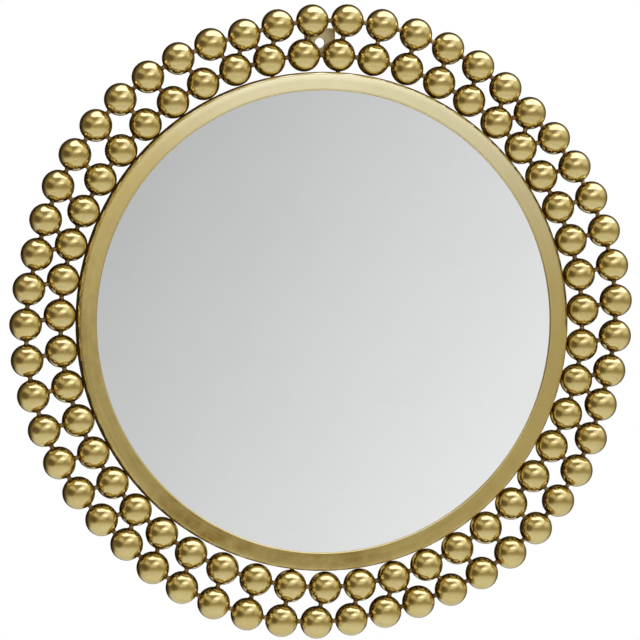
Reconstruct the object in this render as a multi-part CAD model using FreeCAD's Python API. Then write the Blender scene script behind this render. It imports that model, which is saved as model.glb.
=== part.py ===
# A round wall mirror in a brass-finished metal frame, edged with two rows of welded metal balls.
#
# Sizes are in millimetres. Every piece is shaped about the centre of the glass, with its front
# face at Y = 0, the wall behind it towards +Y and Z up. Angles run clockwise from the top, as
# seen from the front. Each piece is then saved about the centre of the hanging hole, where the
# hanging plate meets the wall.
import FreeCAD, Part
import math
import os

# ---- driving dimensions -----------------------------------------------------------------------

# Frame: a rolled ring of L section, with its lip to the front and its wall running back.
sight_radius = 280.0          # inner edge of the lip, where the glass starts to show
lip_width = 22.5              # flat front face, from the sight edge to the outside of the wall
frame_depth = 23.0            # front face to the rear edge of the wall
frame_sheet = 1.5             # thickness of lip and wall
corner_radius = 3.5           # outside rounding between lip and wall

# Glass and what seats it in the frame.
glass_thickness = 4.0
glass_arris = 0.6             # ground bevel round both edges of the glass
tape_inset = 3.0              # sight edge to the near edge of the glazing tape
tape_width = 12.0
tape_thickness = 0.8
spacer_thickness = 3.0        # cork block between the edge of the glass and the wall
spacer_length = 26.0
spacer_count = 6
spacer_first = 30.0           # degrees

# Backing board, the bent tabs that hold it and their screws.
board_thickness = 5.0
board_clearance = 1.0         # edge of the board to the inside of the wall
tab_sheet = 1.2
tab_bend = 1.2                # inside radius of the bend
tab_width = 16.0
tab_reach = 19.0              # how far a tab reaches in over the board
tab_rise = 9.0                # height of the leg that is welded to the wall
tab_count = 8
tab_first = 22.5              # degrees
screw_inset = 12.0            # inside of the wall to the centre of a screw
screw_radius = 1.6
screw_bite = 4.0              # how far a screw goes into the board
screw_point = 1.5             # length of the cone at its tip
screw_head_radius = 3.6
screw_head_height = 2.0
screw_head_round = 1.2
screw_cross_length = 4.4      # each arm of the cross recess, end to end
screw_cross_width = 0.9
screw_cross_depth = 1.3
screw_cross_turn = 0.7        # turn of a recess for each degree that its screw lies round the ring
tab_hole_clearance = 0.3      # screw to the edge of its hole in the tab
pilot_spare = 0.4             # depth left in the pilot hole past the screw's point

# Balls. The inner row stands round the frame, and the outer row nests round the inner one.
ball_radius = 20.0
ball_to_frame = 0.8           # gap between an inner ball and the frame
shortest_neck = 2.5           # least gap between neighbouring balls of a row
inner_start = 3.44            # angle of the first inner ball, in degrees
outer_start = 4.69            # angle of the first outer ball, in degrees

# Welds. Each is a waisted bead of metal that fits the two surfaces that it joins.
weld_waist = 2.6              # radius at the middle of a bead
weld_flare = 3.9              # radius where a bead runs out on a ball
weld_reach = 4.2              # widest gap between two rows that is bridged
frame_weld_waist = 2.4
frame_weld_flare = 3.2
frame_weld_first = 30.5       # degrees; the ball at or before this angle is welded to the frame
frame_weld_spacing = 31.8     # degrees to the next of these, about every fourth ball
plate_weld_radius = 3.2       # bead between the edge of the hanging plate and the back of a ball
plate_weld_rise = 2.4         # how far such a bead climbs the edge of the plate
plate_weld_reach = 2.5        # widest gap between plate and ball that is bridged

# Hanging plate, on the backs of the balls at the top, and the pads that match its thickness.
plate_width = 38.0
plate_height = 36.0
plate_thickness = 4.0
plate_corner = 5.0
plate_edge_round = 0.8
hanging_hole_radius = 6.0
hole_rise = 14.7              # hanging hole above the centre line of the inner balls
pad_radius = 7.0
pad_count = 4
pad_spacing = 45.0            # degrees between neighbouring pads

# ---- sizes that follow ------------------------------------------------------------------------

frame_radius = sight_radius + lip_width
wall_inside = frame_radius - frame_sheet
glass_radius = wall_inside - spacer_thickness
board_radius = wall_inside - board_clearance

tape_front = frame_sheet
glass_front = tape_front + tape_thickness
board_front = glass_front + glass_thickness
board_back = board_front + board_thickness
tab_back = board_back + tab_sheet
screw_line = wall_inside - screw_inset

ball_plane = frame_depth / 2
ball_backs = ball_plane + ball_radius
wall_plane = ball_backs + plate_thickness

inner_radius = frame_radius + ball_to_frame + ball_radius


def balls_round(radius):
    """How many balls fit round a circle with at least the shortest neck between them."""
    return int(math.pi / math.asin((ball_radius + shortest_neck / 2) / radius))


inner_count = balls_round(inner_radius)
inner_step = 360.0 / inner_count
pitch = 2 * inner_radius * math.sin(math.radians(inner_step / 2))


def outer_radius(degrees):
    """Radius at which an outer ball lies one pitch away from the nearest inner ball."""
    past_ball = (degrees - inner_start) % inner_step
    turn = math.radians(min(past_ball, inner_step - past_ball))
    aside = inner_radius * math.sin(turn)
    return inner_radius * math.cos(turn) + math.sqrt(pitch ** 2 - aside ** 2)


nested_radius = outer_radius(inner_start + inner_step / 2)
outer_count = balls_round(nested_radius)
outer_step = 360.0 / outer_count
hole_height = inner_radius + hole_rise

# ---- helpers ----------------------------------------------------------------------------------

CENTRE = FreeCAD.Vector(0, 0, 0)
BACKWARD = FreeCAD.Vector(0, 1, 0)
ALONG = FreeCAD.Vector(1, 0, 0)


def on_clock(radius, degrees, depth):
    """Point at a clockwise angle from the top."""
    turn = math.radians(degrees)
    return FreeCAD.Vector(radius * math.sin(turn), depth, radius * math.cos(turn))


def profile_point(radius, depth):
    """Point of a profile that is turned about the mirror's own axis."""
    return FreeCAD.Vector(0, depth, radius)


def line(start, end):
    return Part.LineSegment(start, end).toShape()


def arc(start, middle, end):
    return Part.Arc(start, middle, end).toShape()


def rounding(start, end, centre, radius):
    """Arc from start to end round a centre that lies inside a quarter turn."""
    outward = (start + end) * 0.5 - centre
    outward.normalize()
    return arc(start, centre + outward * radius, end)


def outline(points):
    """Closed chain of straight edges."""
    return [line(points[i - 1], points[i]) for i in range(len(points))]


def closed_wire(edges):
    """Wire through edges that are given in any order."""
    return Part.Wire(Part.__sortEdges__(edges))


def turned_about(axis, edges, sweep=360.0):
    """Solid made by turning a closed profile about an axis through the centre."""
    return Part.Face(closed_wire(edges)).revolve(CENTRE, axis, sweep)


def turned(edges, start=0.0, sweep=360.0):
    """Solid of revolution about the mirror's own axis."""
    solid = turned_about(BACKWARD, edges, sweep)
    solid.rotate(CENTRE, BACKWARD, start)
    return solid


def block(inner, outer, front, back, middle, length):
    """Piece of a ring with square edges, centred on an angle, of a given length outside."""
    sweep = math.degrees(length / outer)
    corners = [
        profile_point(inner, front),
        profile_point(outer, front),
        profile_point(outer, back),
        profile_point(inner, back),
    ]
    return turned(outline(corners), middle - sweep / 2, sweep)


def spread(count, first):
    """Evenly spaced angles round the ring."""
    return [first + i * 360.0 / count for i in range(count)]


def save(name, solids):
    """Write one sub-part, moved so that the hanging hole at the wall is the origin."""
    shape = solids[0] if len(solids) == 1 else Part.makeCompound(solids)
    shape.translate(FreeCAD.Vector(0, -wall_plane, -hole_height))
    shape.exportStep("parts/" + name + ".step")


# ---- frame, glass and back --------------------------------------------------------------------

def frame_ring():
    """L-section ring with a round sight edge and a rounded front corner."""
    half = frame_sheet / 2
    bend = corner_radius - frame_sheet
    corner = profile_point(frame_radius - corner_radius, corner_radius)
    sight_front = profile_point(sight_radius + half, 0)
    sight_back = profile_point(sight_radius + half, frame_sheet)
    front_end = profile_point(frame_radius - corner_radius, 0)
    wall_start = profile_point(frame_radius, corner_radius)
    rear_outside = profile_point(frame_radius, frame_depth)
    rear_inside = profile_point(wall_inside, frame_depth)
    bend_start = profile_point(wall_inside, corner_radius)
    bend_end = profile_point(frame_radius - corner_radius, frame_sheet)
    return turned([
        line(sight_front, front_end),
        rounding(front_end, wall_start, corner, corner_radius),
        line(wall_start, rear_outside),
        line(rear_outside, rear_inside),
        line(rear_inside, bend_start),
        rounding(bend_start, bend_end, corner, bend),
        line(bend_end, sight_back),
        arc(sight_back, profile_point(sight_radius, half), sight_front),
    ])


def glazing_tape():
    """Thin soft ring between the lip and the glass."""
    near = sight_radius + tape_inset
    return turned(outline([
        profile_point(near, tape_front),
        profile_point(near + tape_width, tape_front),
        profile_point(near + tape_width, glass_front),
        profile_point(near, glass_front),
    ]))


def mirror_glass():
    """Round plate with a ground bevel on both edges."""
    return turned(outline([
        profile_point(0, glass_front),
        profile_point(glass_radius - glass_arris, glass_front),
        profile_point(glass_radius, glass_front + glass_arris),
        profile_point(glass_radius, board_front - glass_arris),
        profile_point(glass_radius - glass_arris, board_front),
        profile_point(0, board_front),
    ]))


def glass_spacers():
    """Blocks that hold the glass off the wall of the frame."""
    return [
        block(glass_radius, wall_inside, glass_front + glass_arris, board_front - glass_arris,
              angle, spacer_length)
        for angle in spread(spacer_count, spacer_first)
    ]


def backing_board():
    """Round board behind the glass, with a blind pilot hole for each screw."""
    board = turned(outline([
        profile_point(0, board_front),
        profile_point(board_radius, board_front),
        profile_point(board_radius, board_back),
        profile_point(0, board_back),
    ]))
    depth = screw_bite + pilot_spare
    holes = [
        Part.makeCylinder(screw_radius, depth, on_clock(screw_line, angle, board_back - depth), BACKWARD)
        for angle in spread(tab_count, tab_first)
    ]
    return board.cut(holes)


def board_tab(angle):
    """Strip welded to the wall of the frame and bent in over the board, with its screw hole."""
    outside_bend = tab_bend + tab_sheet
    bend_line = wall_inside - outside_bend
    bend_depth = board_back + outside_bend
    end = board_back + tab_rise
    bend_centre = profile_point(bend_line, bend_depth)
    tip = wall_inside - tab_reach
    wall_end = profile_point(wall_inside, end)
    wall_bend = profile_point(wall_inside, bend_depth)
    board_bend = profile_point(bend_line, board_back)
    free_bend = profile_point(bend_line, tab_back)
    leg_bend = profile_point(wall_inside - tab_sheet, bend_depth)
    leg_end = profile_point(wall_inside - tab_sheet, end)
    sweep = math.degrees(tab_width / wall_inside)
    strip = turned([
        line(wall_end, wall_bend),
        rounding(wall_bend, board_bend, bend_centre, outside_bend),
        line(board_bend, profile_point(tip, board_back)),
        line(profile_point(tip, board_back), profile_point(tip, tab_back)),
        line(profile_point(tip, tab_back), free_bend),
        rounding(free_bend, leg_bend, bend_centre, tab_bend),
        line(leg_bend, leg_end),
        line(leg_end, wall_end),
    ], angle - sweep / 2, sweep)
    hole_radius = screw_radius + tab_hole_clearance
    hole = Part.makeCylinder(hole_radius, tab_sheet, on_clock(screw_line, angle, board_back), BACKWARD)
    return strip.cut(hole)


def cross_recess(top):
    """Two crossed slots, down from a given depth on the mirror's axis."""
    bottom = top - screw_cross_depth
    slots = []
    for long_side, short_side in ((screw_cross_length, screw_cross_width),
                                  (screw_cross_width, screw_cross_length)):
        corner = FreeCAD.Vector(-long_side / 2, bottom, -short_side / 2)
        slots.append(Part.makeBox(long_side, screw_cross_depth, short_side, corner))
    return slots[0].fuse(slots[1])


def board_screw(angle):
    """Pan-headed screw with a cross recess, through a tab into the board."""
    tip = board_back - screw_bite
    top = tab_back + screw_head_height
    head_round = screw_head_round
    round_centre = profile_point(screw_head_radius - head_round, top - head_round)
    side = profile_point(screw_head_radius, top - head_round)
    crown = profile_point(screw_head_radius - head_round, top)
    screw = turned([
        line(profile_point(0, tip), profile_point(screw_radius, tip + screw_point)),
        line(profile_point(screw_radius, tip + screw_point), profile_point(screw_radius, tab_back)),
        line(profile_point(screw_radius, tab_back), profile_point(screw_head_radius, tab_back)),
        line(profile_point(screw_head_radius, tab_back), side),
        rounding(side, crown, round_centre, head_round),
        line(crown, profile_point(0, top)),
        line(profile_point(0, top), profile_point(0, tip)),
    ])
    screw = screw.cut(cross_recess(top))
    screw.rotate(CENTRE, BACKWARD, screw_cross_turn * angle)
    screw.translate(on_clock(screw_line, angle, 0))
    return screw


# ---- balls ------------------------------------------------------------------------------------

def inner_centres():
    """Centres of the balls that stand round the frame."""
    angles = spread(inner_count, inner_start)
    return [on_clock(inner_radius, angle, ball_plane) for angle in angles]


def outer_centres():
    """Centres of the balls that nest round the inner row."""
    angles = spread(outer_count, outer_start)
    return [on_clock(outer_radius(angle), angle, ball_plane) for angle in angles]


def ball(centre):
    return Part.makeSphere(ball_radius, centre, BACKWARD)


# ---- welds ------------------------------------------------------------------------------------

def seat_arcs(axis_place, toward, flare):
    """Profile of a hollow that fits a ball, as two arcs from the axis of a bead to its flare.

    The ball's centre lies on the axis at axis_place, and toward is the sense from it to the bead.
    """
    turn = math.asin(flare / ball_radius)
    points = []
    for i in range(5):
        part_turn = turn * i / 4
        points.append(FreeCAD.Vector(axis_place + toward * ball_radius * math.cos(part_turn),
                                     ball_radius * math.sin(part_turn), 0))
    return [arc(*points[:3]), arc(*points[2:])]


def waisted_bead(start, end, waist, flare):
    """Waisted bead between two balls, hollowed at both ends to fit them."""
    half = start.distanceToPoint(end) / 2
    run_out = half - math.sqrt(ball_radius ** 2 - flare ** 2)
    seat = half - ball_radius
    edges = seat_arcs(-half, 1, flare) + seat_arcs(half, -1, flare)
    edges.append(arc(FreeCAD.Vector(-run_out, flare, 0), FreeCAD.Vector(0, waist, 0),
                     FreeCAD.Vector(run_out, flare, 0)))
    edges.append(line(FreeCAD.Vector(-seat, 0, 0), FreeCAD.Vector(seat, 0, 0)))
    bead = turned_about(ALONG, edges)
    bead.Placement = FreeCAD.Placement((start + end) * 0.5, FreeCAD.Rotation(ALONG, end - start))
    return bead


def row_welds(centres):
    """A bead between each ball of a closed row and the next."""
    return [
        waisted_bead(centres[i - 1], centres[i], weld_waist, weld_flare)
        for i in range(len(centres))
    ]


def cross_welds(inner, outer):
    """Beads between the rows, wherever two balls are near enough to bridge."""
    near = 2 * ball_radius + weld_reach
    return [
        waisted_bead(low, high, weld_waist, weld_flare)
        for high in outer
        for low in inner
        if low.distanceToPoint(high) < near
    ]


def frame_weld(centre):
    """Short bead between an inner ball and the wall of the frame."""
    outward = FreeCAD.Vector(centre.x, 0, centre.z).normalize()
    foot = outward * frame_radius + BACKWARD * ball_plane
    ball_place = ball_to_frame + ball_radius
    run_out = ball_place - math.sqrt(ball_radius ** 2 - frame_weld_flare ** 2)
    flare_back = FreeCAD.Vector(-ball_to_frame, frame_weld_flare, 0)
    flare_out = FreeCAD.Vector(run_out, frame_weld_flare, 0)
    middle = FreeCAD.Vector((run_out - ball_to_frame) / 2, frame_weld_waist, 0)
    axis_back = FreeCAD.Vector(-ball_to_frame, 0, 0)
    edges = seat_arcs(ball_place, -1, frame_weld_flare)
    edges += [
        arc(flare_out, middle, flare_back),
        line(flare_back, axis_back),
        line(axis_back, FreeCAD.Vector(ball_to_frame, 0, 0)),
    ]
    bead = turned_about(ALONG, edges)
    bead.Placement = FreeCAD.Placement(foot, FreeCAD.Rotation(ALONG, outward))
    return bead.cut(Part.makeCylinder(frame_radius, frame_depth, CENTRE, BACKWARD))


def frame_welds(inner):
    """The ball beside the hanging hole is welded to the frame, and then about every fourth."""
    chosen = [inner[0]]
    angle = frame_weld_first
    while angle < 360.0:
        chosen.append(inner[int((angle - inner_start) / inner_step)])
        angle += frame_weld_spacing
    return [frame_weld(centre) for centre in chosen]


# ---- hanging plate and wall pads --------------------------------------------------------------

def plate_outline(depth):
    """Edges of a rectangle with round corners, at a given depth."""
    half_width = plate_width / 2
    half_height = plate_height / 2
    edges = []
    for side, up in ((1, 1), (1, -1), (-1, -1), (-1, 1)):
        centre = FreeCAD.Vector(side * (half_width - plate_corner), depth,
                                hole_height + up * (half_height - plate_corner))
        beside = centre + FreeCAD.Vector(side * plate_corner, 0, 0)
        above = centre + FreeCAD.Vector(0, 0, up * plate_corner)
        edges.append(rounding(beside, above, centre, plate_corner))
        edges.append(line(beside, FreeCAD.Vector(beside.x, depth, hole_height)))
        edges.append(line(above, FreeCAD.Vector(0, depth, above.z)))
    return edges


def plate_blank(front, back):
    """Plate with round corners, before its edges are rounded and its hole is made."""
    outline_face = Part.Face(closed_wire(plate_outline(front)))
    return outline_face.extrude(BACKWARD * (back - front)).removeSplitter()


def hanging_plate():
    """Plate with round corners and a hole, on the backs of the balls at the top."""
    plate = plate_blank(ball_backs, wall_plane)
    rims = [edge for edge in plate.Edges if edge.BoundBox.YLength < plate_thickness / 2]
    plate = plate.makeFillet(plate_edge_round, rims)
    hole_start = FreeCAD.Vector(0, ball_backs, hole_height)
    return plate.cut(Part.makeCylinder(hanging_hole_radius, plate_thickness, hole_start, BACKWARD))


def plate_welds(centres):
    """Beads along the plate's outline, wherever it lies near enough to the back of a ball."""
    blank = plate_blank(ball_plane, wall_plane)
    rim = closed_wire(plate_outline(ball_backs))
    depth = ball_backs + plate_weld_rise - ball_plane
    beads = []
    for centre in centres:
        behind = Part.Vertex(centre + BACKWARD * ball_radius)
        aside, pairs, _ = rim.distToShape(behind)
        if aside >= ball_radius:
            continue
        gap = ball_radius - math.sqrt(ball_radius ** 2 - aside ** 2)
        if gap < plate_weld_reach:
            foot = pairs[0][0]
            foot.y = ball_plane
            bead = Part.makeCylinder(plate_weld_radius, depth, foot, BACKWARD)
            beads += bead.cut([blank, ball(centre)]).Solids
    return beads


def wall_pad(centre):
    """Soft round pad, hollowed to sit on the back of a ball and flat against the wall."""
    rim = ball_plane + math.sqrt(ball_radius ** 2 - pad_radius ** 2)
    half_turn = math.asin(pad_radius / ball_radius) / 2
    hollow = profile_point(ball_radius * math.sin(half_turn),
                           ball_plane + ball_radius * math.cos(half_turn))
    seat = profile_point(0, ball_backs)
    rim_edge = profile_point(pad_radius, rim)
    pad = turned([
        arc(seat, hollow, rim_edge),
        line(rim_edge, profile_point(pad_radius, wall_plane)),
        line(profile_point(pad_radius, wall_plane), profile_point(0, wall_plane)),
        line(profile_point(0, wall_plane), seat),
    ])
    pad.translate(FreeCAD.Vector(centre.x, 0, centre.z))
    return pad


def wall_pads(outer):
    """Pads on the outer balls nearest to evenly spaced places round the bottom."""
    pads = []
    for i in range(pad_count):
        angle = 180.0 + (i - (pad_count - 1) / 2) * pad_spacing
        pads.append(wall_pad(outer[round((angle - outer_start) / outer_step)]))
    return pads


# ---- the whole mirror -------------------------------------------------------------------------

def build():
    """Build every sub-part and write it."""
    os.makedirs("parts", exist_ok=True)
    inner = inner_centres()
    outer = outer_centres()
    tabs = spread(tab_count, tab_first)
    print("inner balls", len(inner), "outer balls", len(outer), "pitch", round(pitch, 2))
    save("frame_ring", [frame_ring()])
    save("glazing_tape", [glazing_tape()])
    save("mirror_glass", [mirror_glass()])
    save("glass_spacers", glass_spacers())
    save("backing_board", [backing_board()])
    save("board_tabs", [board_tab(angle) for angle in tabs])
    save("board_screws", [board_screw(angle) for angle in tabs])
    save("inner_balls", [ball(centre) for centre in inner])
    save("outer_balls", [ball(centre) for centre in outer])
    save("inner_row_welds", row_welds(inner))
    save("outer_row_welds", row_welds(outer))
    save("row_to_row_welds", cross_welds(inner, outer))
    save("frame_welds", frame_welds(inner))
    save("plate_welds", plate_welds(inner + outer))
    save("wall_pads", wall_pads(outer))
    save("hanging_plate", [hanging_plate()])


build()
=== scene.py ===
"""Looks of a round wall mirror in a brass frame with two rows of welded balls.

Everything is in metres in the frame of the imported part: the wall lies at Y = 0, the glass faces -Y, Z is up
and the origin is the centre of the hanging hole. Most solids keep their shapes and get their finishes here.
Seamless meshes stand for the balls, and uneven ones for the beads between them.
"""

import logging
import math
from dataclasses import dataclass
from enum import Enum
from typing import Any, Sequence

import bmesh
import bpy
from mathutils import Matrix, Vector, noise


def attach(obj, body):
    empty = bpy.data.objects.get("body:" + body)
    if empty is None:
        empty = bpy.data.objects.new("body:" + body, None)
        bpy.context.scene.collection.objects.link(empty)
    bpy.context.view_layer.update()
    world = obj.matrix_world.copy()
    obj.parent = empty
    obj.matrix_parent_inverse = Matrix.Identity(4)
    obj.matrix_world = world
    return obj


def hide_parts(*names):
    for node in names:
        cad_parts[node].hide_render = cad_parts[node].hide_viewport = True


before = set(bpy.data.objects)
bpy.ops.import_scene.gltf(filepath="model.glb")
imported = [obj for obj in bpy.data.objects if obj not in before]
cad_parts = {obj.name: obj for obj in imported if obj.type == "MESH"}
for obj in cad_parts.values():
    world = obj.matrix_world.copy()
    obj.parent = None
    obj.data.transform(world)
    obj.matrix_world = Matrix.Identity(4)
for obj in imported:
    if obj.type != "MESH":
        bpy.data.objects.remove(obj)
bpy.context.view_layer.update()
log = logging.getLogger("mirror")

Colour = tuple[float, float, float]
MIRROR_CENTRE = Vector((0.0, -0.022, -0.338))
VIEW_AZIMUTH = -11.3
VIEW_ELEVATION = 1.2
BALL_PLANE = -0.024
PURE_WHITE: Colour = (1.0, 1.0, 1.0)
BLACK: Colour = (0.0, 0.0, 0.0)
UP = Vector((0.0, 0.0, 1.0))


class Coords(Enum):
    """Which coordinates a pattern follows."""

    OBJECT = "Object"
    GENERATED = "Generated"


class Blend(Enum):
    """How two colours are laid over one another."""

    MIX = "MIX"
    ADD = "ADD"
    MULTIPLY = "MULTIPLY"


def toward(azimuth: float, elevation: float) -> Vector:
    """Unit vector from the mirror toward a place in the studio.

    Args:
        azimuth: degrees to the right of straight ahead of the glass.
        elevation: degrees above the horizon.

    Returns:
        The direction in the part's frame.
    """
    side, rise = math.radians(azimuth), math.radians(elevation)
    return Vector((math.sin(side) * math.cos(rise), -math.cos(side) * math.cos(rise), math.sin(rise)))


# ---- node graphs ------------------------------------------------------------------------------


class Graph:
    """Short ways to add nodes to a tree and to join them."""

    def __init__(self, tree: bpy.types.NodeTree) -> None:
        """Work on a tree.

        Args:
            tree: a material's, world's or group's tree.
        """
        self.tree = tree

    def add(self, kind: str, inputs: dict[Any, Any] | None = None, **settings: Any) -> bpy.types.Node:
        """Add one node.

        Args:
            kind: the node's type name.
            inputs: for each socket's name or number, a value or another node's output.
            settings: properties of the node.

        Returns:
            The new node.
        """
        node = self.tree.nodes.new(kind)
        for name, value in settings.items():
            setattr(node, name, value)
        for name, value in (inputs or {}).items():
            self.feed(node, name, value)
        return node

    def feed(self, node: bpy.types.Node, name: str | int, value: Any) -> None:
        """Set a socket, or join an output to it.

        Args:
            node: the node that is fed.
            name: its socket's name or number.
            value: a number, a colour, a vector or an output socket.
        """
        socket = node.inputs[name]
        if isinstance(value, bpy.types.NodeSocket):
            self.tree.links.new(value, socket)
        elif isinstance(value, (tuple, list, Vector)) and len(value) == 3 and socket.type == "RGBA":
            socket.default_value = (*value, 1.0)
        else:
            socket.default_value = value

    def math(self, operation: str, *values: Any, clamp: bool = False) -> bpy.types.NodeSocket:
        """Result of a sum on numbers or outputs."""
        inputs = dict(enumerate(values))
        return self.add("ShaderNodeMath", inputs, operation=operation, use_clamp=clamp).outputs[0]

    def dot(self, direction: Any, other: Sequence[float]) -> bpy.types.NodeSocket:
        """Dot product of an output and a fixed vector."""
        return self.add("ShaderNodeVectorMath", {0: direction, 1: other}, operation="DOT_PRODUCT").outputs["Value"]

    def mix(self, amount: Any, low: Any, high: Any, blend: Blend = Blend.MIX) -> bpy.types.NodeSocket:
        """Colour between two colours.

        Args:
            amount: 0 for low alone, 1 for all of high.
            low: colour or output.
            high: colour or output.
            blend: how the two are blended.

        Returns:
            The colour output.
        """
        node = self.add("ShaderNodeMix", data_type="RGBA", blend_type=blend.value)
        for place, value in ((0, amount), (6, low), (7, high)):
            self.feed(node, place, value)
        return node.outputs[2]

    def ramp(self, value: Any, stops: Sequence[tuple[float, Colour]]) -> bpy.types.NodeSocket:
        """Colour from a ramp that eases between its stops.

        Args:
            value: output that runs along the ramp.
            stops: places from 0 to 1, each with its colour.

        Returns:
            The colour output.
        """
        node = self.add("ShaderNodeValToRGB", {"Fac": value})
        node.color_ramp.interpolation = "EASE"
        marks = node.color_ramp.elements
        while len(marks) < len(stops):
            marks.new(0.5)
        for mark, (place, colour) in zip(marks, stops):
            mark.position = place
            mark.color = (*colour, 1.0)
        return node.outputs["Color"]

    def span(self, value: Any, low: float, high: float, start: Any = 0.0, end: Any = 1.0,
             smooth: bool = False) -> bpy.types.NodeSocket:
        """Carry a value from one range to another, held at both ends.

        Args:
            value: the output to carry over.
            low: where the first range starts.
            high: where the first range ends.
            start: result at low.
            end: result at high.
            smooth: whether the change eases in and out.

        Returns:
            The value output.
        """
        kind = "SMOOTHSTEP" if smooth else "LINEAR"
        inputs = {"Value": value, 1: low, 2: high, 3: start, 4: end}
        return self.add("ShaderNodeMapRange", inputs, interpolation_type=kind).outputs["Result"]

    def coords(self, which: Coords = Coords.OBJECT) -> bpy.types.NodeSocket:
        """Coordinates for a pattern."""
        return self.add("ShaderNodeTexCoord").outputs[which.value]

    def vector(self, x: Any, y: Any, z: Any = 0.0) -> bpy.types.NodeSocket:
        """Vector from three numbers or outputs."""
        return self.add("ShaderNodeCombineXYZ", {"X": x, "Y": y, "Z": z}).outputs[0]

    def minus(self, vector: Any, other: Sequence[float]) -> bpy.types.NodeSocket:
        """An output less a fixed vector."""
        return self.add("ShaderNodeVectorMath", {0: vector, 1: other}, operation="SUBTRACT").outputs[0]

    def length(self, vector: Any) -> bpy.types.NodeSocket:
        """Length of a vector."""
        return self.add("ShaderNodeVectorMath", {0: vector}, operation="LENGTH").outputs["Value"]

    def polar(self, at: Any) -> tuple[bpy.types.NodeSocket, ...]:
        """Distance from the mirror's axis, angle clockwise from the top, and place along the axis."""
        axes = self.add("ShaderNodeSeparateXYZ", {"Vector": at}).outputs
        rise = self.math("SUBTRACT", axes["Z"], MIRROR_CENTRE.z)
        square = self.math("MULTIPLY_ADD", axes["X"], axes["X"], self.math("MULTIPLY", rise, rise))
        return self.math("SQRT", square), self.math("ARCTAN2", axes["X"], rise), axes["Y"]

    def noise(self, at: Any, scale: Any, detail: float = 3.0, roughness: float = 0.5) -> bpy.types.NodeSocket:
        """Soft random value from 0 to 1."""
        inputs = {"Vector": at, "Scale": scale, "Detail": detail, "Roughness": roughness}
        return self.add("ShaderNodeTexNoise", inputs).outputs["Fac"]


def fresh(owner: Any) -> Graph:
    """Empty graph of a material, a world or a lamp."""
    owner.use_nodes = True
    owner.node_tree.nodes.clear()
    return Graph(owner.node_tree)


class SharedEffect:
    """A node group that is built once and placed in several materials."""

    name = "effect"
    takes: tuple[tuple[str, str, Any], ...] = ()
    gives: tuple[tuple[str, str], ...] = ()

    @classmethod
    def tree(cls) -> bpy.types.NodeTree:
        """The group, which is built when it is first asked for."""
        found = bpy.data.node_groups.get(cls.name)
        if found is not None:
            return found
        tree = bpy.data.node_groups.new(cls.name, "ShaderNodeTree")
        for label, kind, value in cls.takes:
            socket = tree.interface.new_socket(label, in_out="INPUT", socket_type=kind)
            socket.default_value = (*value, 1.0) if isinstance(value, tuple) else value
        for label, kind in cls.gives:
            tree.interface.new_socket(label, in_out="OUTPUT", socket_type=kind)
        graph = Graph(tree)
        given = graph.add("NodeGroupInput").outputs
        result = graph.add("NodeGroupOutput")
        for label, value in cls.build(graph, given).items():
            graph.feed(result, label, value)
        return tree

    @classmethod
    def build(cls, graph: Graph, given: Any) -> dict[str, Any]:
        """Make the nodes inside.

        Args:
            graph: the group's graph.
            given: the outputs of its input node.

        Returns:
            The output for each of the group's results.
        """
        raise NotImplementedError

    @classmethod
    def use(cls, graph: Graph, **values: Any) -> Any:
        """Place the group in a material.

        Args:
            graph: the material's graph.
            values: values of the group's inputs, with underscores for spaces.

        Returns:
            The outputs of the placed group.
        """
        node = graph.add("ShaderNodeGroup", node_tree=cls.tree())
        for label, value in values.items():
            graph.feed(node, label.replace("_", " "), value)
        return node.outputs


class Tarnish(SharedEffect):
    """Cloudy change from a clean to a tarnished colour."""

    name = "tarnish"
    takes = (
        ("Clean", "NodeSocketColor", PURE_WHITE),
        ("Tarnished", "NodeSocketColor", PURE_WHITE),
        ("Scale", "NodeSocketFloat", 20.0),
        ("Amount", "NodeSocketFloat", 0.5),
    )
    gives = (("Color", "NodeSocketColor"), ("Mask", "NodeSocketFloat"))

    @classmethod
    def build(cls, graph: Graph, given: Any) -> dict[str, Any]:
        """Broad clouds with finer ones on their edges."""
        at = graph.coords()
        broad = graph.noise(at, given["Scale"], 4.0, 0.6)
        fine = graph.noise(at, graph.math("MULTIPLY", given["Scale"], 7.0), 3.0, 0.6)
        both = graph.math("MULTIPLY_ADD", fine, 0.35, graph.math("MULTIPLY", broad, 0.65))
        cloud = graph.span(both, 0.40, 0.64, smooth=True)
        mask = graph.math("MULTIPLY", cloud, given["Amount"], clamp=True)
        return {"Color": graph.mix(mask, given["Clean"], given["Tarnished"]), "Mask": mask}


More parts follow.
